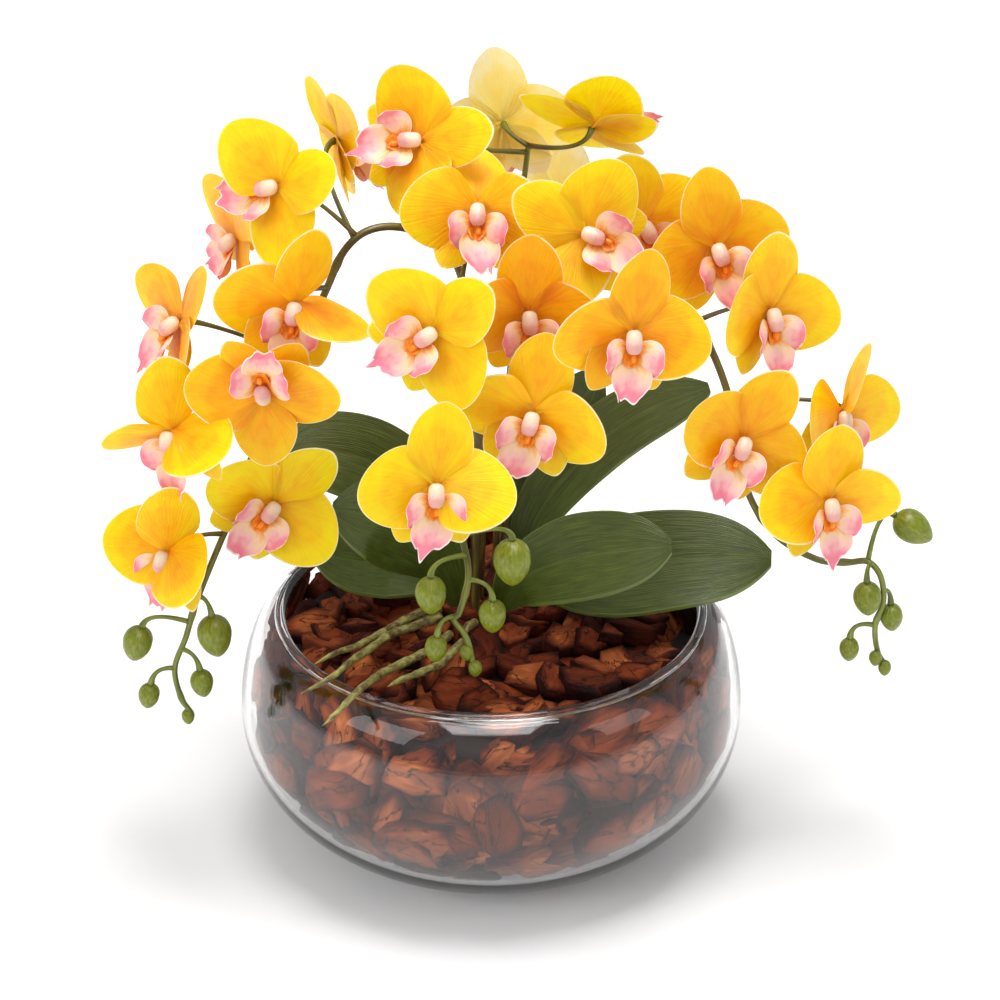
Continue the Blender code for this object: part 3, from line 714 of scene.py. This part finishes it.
shader.inputs["Subsurface Weight"].default_value = 0.1
shader.inputs["Subsurface Scale"].default_value = 0.002


def facing(azimuth, tilt, spin):
    """The turn of a flower from its drawn position."""
    return (Matrix.Rotation(math.radians(azimuth), 3, "Z") @ Matrix.Rotation(math.radians(-tilt), 3, "X")
            @ Matrix.Rotation(math.radians(spin), 3, "Y"))


def turn_to(direction):
    """The turn that brings something drawn hanging down to point this way."""
    return Vector((0, 0, -1)).rotation_difference(Vector(direction)).to_matrix()


def hook(start, neck, outward, reach):
    """A stalk that leaves the stem at start and comes into the neck along its outward line."""
    bend = neck + outward * reach
    return [start * (1 - t) ** 2 + 2 * bend * t * (1 - t) + neck * t**2
            for t in (step / STALK_STEPS for step in range(STALK_STEPS + 1))]


def add_bud(bm, place, turn, length, finish_number):
    """A closed bud: three sepals in seam, round at the stalk and drawn to a blunt point."""
    bud = new_part("tone", "grain")
    bmesh.ops.create_uvsphere(bud, u_segments=24, v_segments=14, radius=1)
    layer = bud.verts.layers.float_vector["grain"]
    for vert in bud.verts:
        angle, height = math.atan2(vert.co.y, vert.co.x), vert.co.z
        seam = abs(math.sin(1.5 * angle)) ** 0.35
        width = (0.80 + 0.10 * height) * (0.92 + 0.08 * seam)
        point = 1 + 0.10 * max(0, -height) ** 6
        vert[layer] = (angle, height * 2 + length * 900, 0)
        shaped = Vector((vert.co.x * width, vert.co.y * width, height * point))
        vert.co = place + turn @ (shaped * length / 2)
    for face in bud.faces:
        face.material_index = finish_number
    join_part(bm, bud)


for side, design in SPIKES.items():
    route = smooth_route(on_bark(design["route"]), POINTS_PER_SPAN)
    stem_start = route[0] - Vector((0, 0, STEM_FOOT_DEPTH))
    stalk_bearing = route[BARE_SPANS * POINTS_PER_SPAN:]
    bm = new_part("tone", "grain")

    def stem_width(share, metres):
        joint = (metres / JOINT_SPACING + len(design["route"]) * 0.3) % 1 - 0.5
        taper = STEM_RADIUS + (STEM_TIP_RADIUS - STEM_RADIUS) * share
        return taper * (1 + 0.26 * math.exp(-(joint * 16) ** 2))

    def stalk_width(share, metres):
        return STALK_RADIUS * (1.15 - 0.3 * math.sin(math.pi * min(1, share * 1.1)) + 0.35 * share**6)

    grow_tube(bm, [stem_start] + route, stem_width, STEM_SIDES, lambda share: 0.1 + 0.9 * share**2)
    for spot, azimuth, tilt, spin in design["flowers"]:
        place = bark_centre + Vector(spot) * MM
        back = facing(azimuth, tilt, spin) @ Vector((0, 1, 0))
        neck = place + back * FLOWER_NECK
        start = min(stalk_bearing, key=lambda point: (point - neck - back * FLOWER_STALK).length)
        stalk = hook(start, neck, back, FLOWER_HOOK)
        grow_tube(bm, stalk, stalk_width, STALK_SIDES, lambda share: 0.3 + 0.4 * share)
    for spot, lean, length in design["buds"]:
        up = turn_to(lean) @ Vector((0, 0, 1))
        neck = bark_centre + Vector(spot) * MM + up * length * MM / 2
        start = min(stalk_bearing, key=lambda point: (point - neck - up * BUD_STALK).length)
        stalk = hook(start, neck, up, BUD_HOOK)
        grow_tube(bm, stalk, stalk_width, STALK_SIDES, lambda share: 0.95)
    for spot in design["tip_buds"]:
        add_bud(bm, bark_centre + Vector(spot) * MM, turn_to((0, 0, -1)), TIP_BUD_LENGTH, 1)
    finish_piece(f"{side}_spike_stems", bm, [stem_finish, bud_finish], [f"{side}_flower_spike"])
    for number, (spot, lean, length) in enumerate(design["buds"], 1):
        bm = new_part("tone", "grain")
        add_bud(bm, bark_centre + Vector(spot) * MM, turn_to(lean), length * MM, 0)
        finish_piece(f"{side}_bud_{number}_skin", bm, [bud_finish], [f"{side}_bud_{number}"])

# ---- flowers ----
# Each flower has two sepals below, one sepal above and two broad petals at the sides, all thin,
# finely veined and pale at the edge. A short pale column stands over a pink lip of three lobes.

PETAL_THICKNESS = 0.0005
LIP_THICKNESS = 0.0006

# The colours of a petal near its foot, in the middle and at the edge, by the shade of its flower.
PETAL_TONES = {
    "lemon": ("FFA600", "FFCC00", "FFDE00"),
    "gold": ("FF9600", "FFB900", "FFD200"),
    "amber": ("FC8600", "FFA600", "FFC000"),
    "orange": ("F67600", "FF9400", "FFAA00"),
    # Painted light: a paler copy of the petal colours, standing in for light shining through and onto back
    # flowers.
    "pale": ("FFD83C", "FFE76C", "FFF2A4"),
}
FLOWER_TONES = {
    "left": ["lemon", "gold", "amber", "amber", "amber", "gold", "lemon", "gold", "amber"],
    "right": ["amber", "amber", "gold", "amber", "gold", "gold", "gold"],
    "front": ["gold", "lemon", "orange", "lemon", "gold", "lemon"],
    # Two back flowers take the paler copy, painted light where light shines through them.
    "back": ["gold", "pale", "lemon", "pale"],
}

# Petals that stand out of their flower's usual spread: (swing forward, roll) in degrees.
TURNED_PETALS = {
    "left_flower_1": {"left": (30, 24)},
    "left_flower_3": {"right": (8, -76), "top": (8, 34)},
    "left_flower_6": {"left": (16, -50), "top": (-8, 58), "right": (6, -62)},
    "left_flower_8": {"left": (12, 34), "top": (-6, 56), "right": (22, -44)},
    "right_flower_1": {"right": (4, -14)},
    "right_flower_5": {"left": (18, 20), "top": (10, 56)},
    "right_flower_6": {"left": (-6, 26), "right": (12, 22)},
    "front_flower_1": {"top": (-42, 0)},
    "front_flower_4": {"top": (14, -8), "right": (2, 8)},
    "front_flower_5": {"left": (-4, -20)},
    "front_flower_6": {"left": (10, 6), "right": (16, -26)},
}


def petal_finish(tone, codes):
    """A petal's skin: flushed from its foot, clouded, veined like a fan, with a fine pale rim."""
    finish, tree, shader = new_finish(f"petal_{tone}", 0.5)
    fan = channel(tree, "blade", "X")
    out = channel(tree, "blade", "Y")
    edge = channel(tree, "blade", "Z")
    veins = streaks(tree, "blade", 1, 2, (26, 1.2, 0.3))
    cloud = streaks(tree, "blade", 2.4, 2, (1, 1, 1))
    middle = sum_of(tree, "SUBTRACT", 1, sum_of(tree, "MULTIPLY", sum_of(tree, "ABSOLUTE", fan, 0), 0.5))
    flush = sum_of(tree, "MULTIPLY", sum_of(tree, "SUBTRACT", 1.05, out), middle)
    flush = sum_of(tree, "ADD", flush, sum_of(tree, "MULTIPLY", sum_of(tree, "SUBTRACT", cloud, 0.5), 0.9))
    flush = sum_of(tree, "ADD", flush, sum_of(tree, "MULTIPLY", sum_of(tree, "SUBTRACT", veins, 0.5), 0.45))
    body = ramp(tree, flush, [(0.10, codes[2]), (0.42, codes[1]), (0.85, codes[0])])
    rim = sum_of(tree, "MULTIPLY", ramp(tree, edge, [(0.968, "000000"), (0.992, "FFFFFF")]),
                 ramp(tree, out, [(0.35, "000000"), (0.55, "FFFFFF")]))
    tree.links.new(blend_colours(tree, rim, body, shade("FFF3A8")), shader.inputs["Base Color"])
    add_bump(tree, shader, veins, 0.0004)
    shader.inputs["Specular IOR Level"].default_value = 0.28
    shader.inputs["Subsurface Weight"].default_value = 0.3
    shader.inputs["Subsurface Radius"].default_value = (1, 0.75, 0.2)
    shader.inputs["Subsurface Scale"].default_value = 0.004
    return finish


petal_finishes = {tone: petal_finish(tone, codes) for tone, codes in PETAL_TONES.items()}
lip_finish, tree, shader = new_finish("lip", 0.5)
lip_out = channel(tree, "blade", "Y")
lip_noise = streaks(tree, "blade", 2.5, 2, (1.5, 1, 1))
lip_cloud = sum_of(tree, "MULTIPLY", sum_of(tree, "SUBTRACT", lip_noise, 0.5), 0.5)
lip_depth = sum_of(tree, "ADD", lip_out, lip_cloud)
lip_body = ramp(tree, lip_depth, [(0.10, "F07400"), (0.24, "F6A850"), (0.42, "F7D2A6"), (0.62, "F6BEB8"),
                                  (0.90, "EE8094")])
lip_rim = ramp(tree, channel(tree, "blade", "Z"), [(0.965, "000000"), (0.995, "FFFFFF")])
tree.links.new(blend_colours(tree, lip_rim, lip_body, shade("FFE9E6")), shader.inputs["Base Color"])
shader.inputs["Subsurface Weight"].default_value = 0.12
shader.inputs["Subsurface Radius"].default_value = (1, 0.4, 0.3)
shader.inputs["Subsurface Scale"].default_value = 0.002
column_finish, tree, shader = new_finish("column", 0.42)
grain = streaks(tree, "blade", 4, 3, (1, 1, 1))
cap = sum_of(tree, "ADD", channel(tree, "blade", "Z"), sum_of(tree, "MULTIPLY", grain, 0.8))
tree.links.new(ramp(tree, cap, [(0.0, "DFA59C"), (0.35, "E8C4B2"), (0.8, "ECD8BC")]),
               shader.inputs["Base Color"])
throat_finish, tree, shader = new_finish("throat", 0.45)
grain = streaks(tree, "blade", 4, 3, (1, 1, 1))
tree.links.new(ramp(tree, grain, [(0.35, "EE7000"), (0.6, "FFA628")]), shader.inputs["Base Color"])


# Veins fan out from a point just outside the unit disc, this far below its middle.
FAN_POINT = 1.12


def add_blade(bm, cells, form, thickness, finish_number):
    """A thin sheet with a round outline. form(across, along) places a point of the unit disc."""
    blade = new_part("blade")
    bmesh.ops.create_grid(blade, x_segments=cells, y_segments=cells, size=1)
    layer = blade.verts.layers.float_vector["blade"]
    for vert in blade.verts:
        x, y = vert.co.x, vert.co.y
        across, along = x * math.sqrt(1 - y * y / 2), y * math.sqrt(1 - x * x / 2)
        vert[layer] = (math.atan2(across, along + FAN_POINT), (along + 1) / 2, math.hypot(across, along))
        vert.co = form(across, along) * MM
    bmesh.ops.solidify(blade, geom=blade.faces[:], thickness=thickness)
    bmesh.ops.recalc_face_normals(blade, faces=blade.faces)
    for face in blade.faces:
        face.material_index = finish_number
    join_part(bm, blade)


# The shape of a blade: the start of its foot, its length and its width in millimetres, then how far
# it comes forward (at its foot, by its end, in its middle, and how far its sides fall back), how
# kidney-shaped it is, and how far its tip is drawn out.
LOWER_SEPAL = (0, 32, 22, (-1.1, 1.0, 0.6, 1.6), 0.04, 0.03)
TOP_SEPAL = (-1.5, 38, 30, (1.5, -0.4, 0.6, 1.5), 0.05, 0.02)
SIDE_PETAL = (0, 37, 38, (0.3, 3.4, 0.8, 1.9), 0.13, 0.0)
LOWER_SEPAL_CLOCK = 150
SIDE_PETAL_CLOCK = 101


def tepal_form(clock, swing, shape, draw):
    """How one sepal or petal lies: its clock angle, how far it swings forward and rolls, in degrees,
    and its shape."""
    foot, length, width, forward, kidney, tip = shape
    angle = math.radians(clock)
    out = Vector((math.sin(angle), 0, math.cos(angle)))
    aside = Vector((math.cos(angle), 0, -math.sin(angle)))
    phase, ripple = draw.uniform(0, 6.3), draw.uniform(0.5, 1.1)
    lean, curl = draw.uniform(-0.8, 0.8), draw.uniform(0.8, 1.5)
    lift, roll = math.radians(swing[0]), math.radians(swing[1])
    turn = Matrix.Rotation(lift, 3, aside) @ Matrix.Rotation(roll, 3, out)

    def form(across, along):
        share = (along + 1) / 2
        fan = math.atan2(across, along + FAN_POINT)
        edge = math.hypot(across, along)
        reach = share - kidney * abs(across) ** 1.8 + tip * math.exp(-(across / 0.35) ** 2) * share**5
        narrow = 0.34 + 0.66 * math.sin(math.pi / 2 * min(1, share / 0.42))
        rise = (forward[0] + (forward[1] + lean) * share**2 + forward[2] * math.sin(math.pi * share)
                - forward[3] * curl * across**2 + ripple * math.sin(3.4 * fan + phase) * edge**4
                + 0.12 * math.sin(fan * 22) * edge * (1 - edge))
        flat = out * (foot + reach * length) + aside * across * width / 2 * narrow
        return turn @ (flat + Vector((0, -rise, 0)))
    return form


def lobe_form(base, heading, spread, length, width, hollow, draw):
    """How a lobe of the lip lies: where it starts, which way it runs and how it hollows."""
    base, heading, spread = Vector(base), Vector(heading).normalized(), Vector(spread)
    spread = (spread - heading * spread.dot(heading)).normalized()
    normal = heading.cross(spread)
    phase = draw.uniform(0, 6.3)

    def form(across, along):
        share = (along + 1) / 2
        edge = math.hypot(across, along)
        depth = hollow * (across**2 + 0.6 * share**2) + 0.5 * math.sin(7 * across + phase) * edge**4
        return base + heading * share * length + spread * across * width / 2 + normal * depth
    return form


def middle_lobe_form(draw):
    """How the middle lobe hangs: a waisted tongue, hollow along the middle, with a torn, horned end."""
    horns = draw.choice(((0.0, 0.24), (0.42, 0.16), (0.30, 0.18)))
    hook_way, twist, phase = draw.choice((-1, 1)), draw.uniform(-0.14, 0.14), draw.uniform(0, 6.3)

    def form(across, along):
        share = (along + 1) / 2
        waist = 0.58 + 0.42 * math.sin(math.pi / 2 * min(1, share / 0.5))
        horn = horns[1] * math.exp(-((abs(across) - horns[0]) / 0.14) ** 2) * share**7
        torn = 0.035 * math.sin(across * 16 + phase) * share**6
        drop = (share + horn + torn) * 22
        aside = across * 9.4 * waist + hook_way * 3.0 * share**9 * math.exp(-(across / 0.5) ** 2)
        sway = 0.9 * math.sin(6 * across + phase) * math.hypot(across, along)**5
        ahead = -2.5 - 0.34 * drop - 3.0 * across**2 + sway
        return Vector((aside + twist * drop, ahead, -9.5 - 0.93 * drop))
    return form


def add_knob(bm, place, axis, size, finish_number):
    """A blunt barrel with round ends, its length along the axis."""
    knob = new_part("blade")
    bmesh.ops.create_uvsphere(knob, u_segments=18, v_segments=12, radius=1)
    turn = Vector((0, 0, 1)).rotation_difference(Vector(axis)).to_matrix()
    layer = knob.verts.layers.float_vector["blade"]
    for vert in knob.verts:
        height = vert.co.z
        round_part = math.sqrt(max(1e-6, 1 - height**2))
        full = (1 - abs(height) ** 2.8) ** (1 / 2.8) / round_part if round_part > 0.01 else 1
        groove = 1 - 0.07 * math.exp(-((height - 0.35) / 0.12) ** 2)
        vert[layer] = vert.co
        shaped = Vector((vert.co.x * full * groove * size[0], vert.co.y * full * groove * size[1],
                         height * size[2]))
        vert.co = (Vector(place) + turn @ shaped) * MM
    for face in knob.faces:
        face.material_index = finish_number
    join_part(bm, knob)


# The finishes' places on a flower, in the order that its materials are listed.
ON_PETAL, ON_LIP, ON_COLUMN, ON_THROAT = range(4)

# The drawn swing of a petal is passed over where the petal is listed as turned.
for side, design in SPIKES.items():
    for number, (spot, azimuth, tilt, spin) in enumerate(design["flowers"], 1):
        name = f"{side}_flower_{number}"
        draw = random.Random(name)
        bm = new_part("blade")
        turned = TURNED_PETALS.get(name, {})
        for clock in (LOWER_SEPAL_CLOCK, -LOWER_SEPAL_CLOCK):
            swing = (draw.uniform(-8, 4), draw.uniform(-8, 8))
            sepal = tepal_form(clock + draw.uniform(-5, 5), swing, LOWER_SEPAL, draw)
            add_blade(bm, 26, sepal, PETAL_THICKNESS, ON_PETAL)
        swing = turned.get("top", (draw.uniform(-6, 10), draw.uniform(-12, 12)))
        sepal = tepal_form(draw.uniform(-5, 5), swing, TOP_SEPAL, draw)
        add_blade(bm, 28, sepal, PETAL_THICKNESS, ON_PETAL)
        for way, petal_name in ((1, "right"), (-1, "left")):
            swing = turned.get(petal_name, (draw.uniform(-4, 14), way * draw.uniform(-10, 18)))
            petal = tepal_form(way * (SIDE_PETAL_CLOCK + draw.uniform(-5, 7)), swing, SIDE_PETAL, draw)
            add_blade(bm, 34, petal, PETAL_THICKNESS, ON_PETAL)
        add_blade(bm, 22, middle_lobe_form(draw), LIP_THICKNESS, ON_LIP)
        for way in (-1, 1):
            side_lobe = lobe_form((way * 0.6, -2.4, -10.0), (way * 0.70, -0.66, -0.26),
                                  (way * 0.2, -0.20, 0.95), 16, 17, -way * 2.8, draw)
            add_blade(bm, 16, side_lobe, LIP_THICKNESS, ON_LIP)
        throat = lobe_form((0, -2.2, -7.0), (0, -0.22, -0.97), (1, 0, 0), 10, 8, 2.0, draw)
        add_blade(bm, 12, throat, LIP_THICKNESS, ON_THROAT)
        add_knob(bm, (0, -5.4, -5.0), (0, 0.42, 0.9), (3.8, 3.5, 5.6), ON_COLUMN)
        add_knob(bm, (0.8, -5.6, -12.6), (0, 0.3, 0.95), (1.3, 1.4, 1.9), ON_THROAT)
        place = bark_centre + Vector(spot) * MM
        bm.transform(Matrix.Translation(place) @ facing(azimuth, tilt, spin).to_4x4())
        tone = FLOWER_TONES[side][number - 1]
        finish_piece(f"{name}_bloom", bm, [petal_finishes[tone], lip_finish, column_finish, throat_finish],
                     [name], sharp_above=50)
